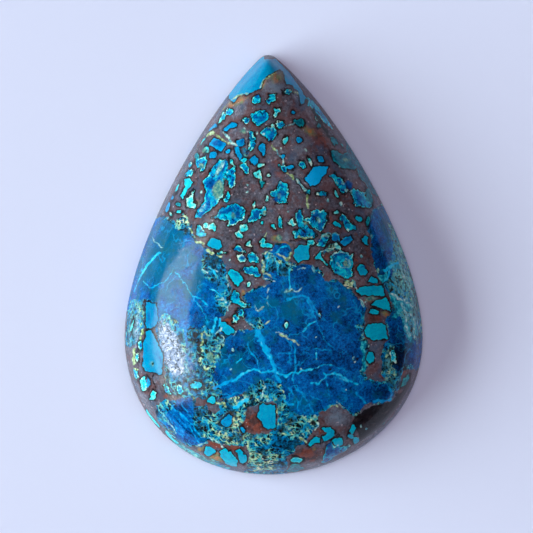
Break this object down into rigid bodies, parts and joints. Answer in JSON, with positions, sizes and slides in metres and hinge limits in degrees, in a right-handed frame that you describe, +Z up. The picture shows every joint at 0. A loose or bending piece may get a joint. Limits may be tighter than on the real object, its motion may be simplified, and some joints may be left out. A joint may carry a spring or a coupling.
{
  "type": "azurite shattuckite cabochon",
  "caption": "Pear-shaped polished gemstone cabochon of blue azurite and shattuckite in brown matrix, domed on top and flat on its back.",
  "frame": {"origin": "on the flat back, under the middle of the stone's length and width", "axes": "+Y towards the tip, +Z up out of the dome, +X to the right seen from above with the tip away"},
  "size_m": [0.0284, 0.04, 0.008],
  "materials": {
    "polished_stone": "polished dome and wall, satin ground back"
  },
  "bodies": {
    "root": {"cabochon": "polished_stone"}
  },
  "joints": []
}
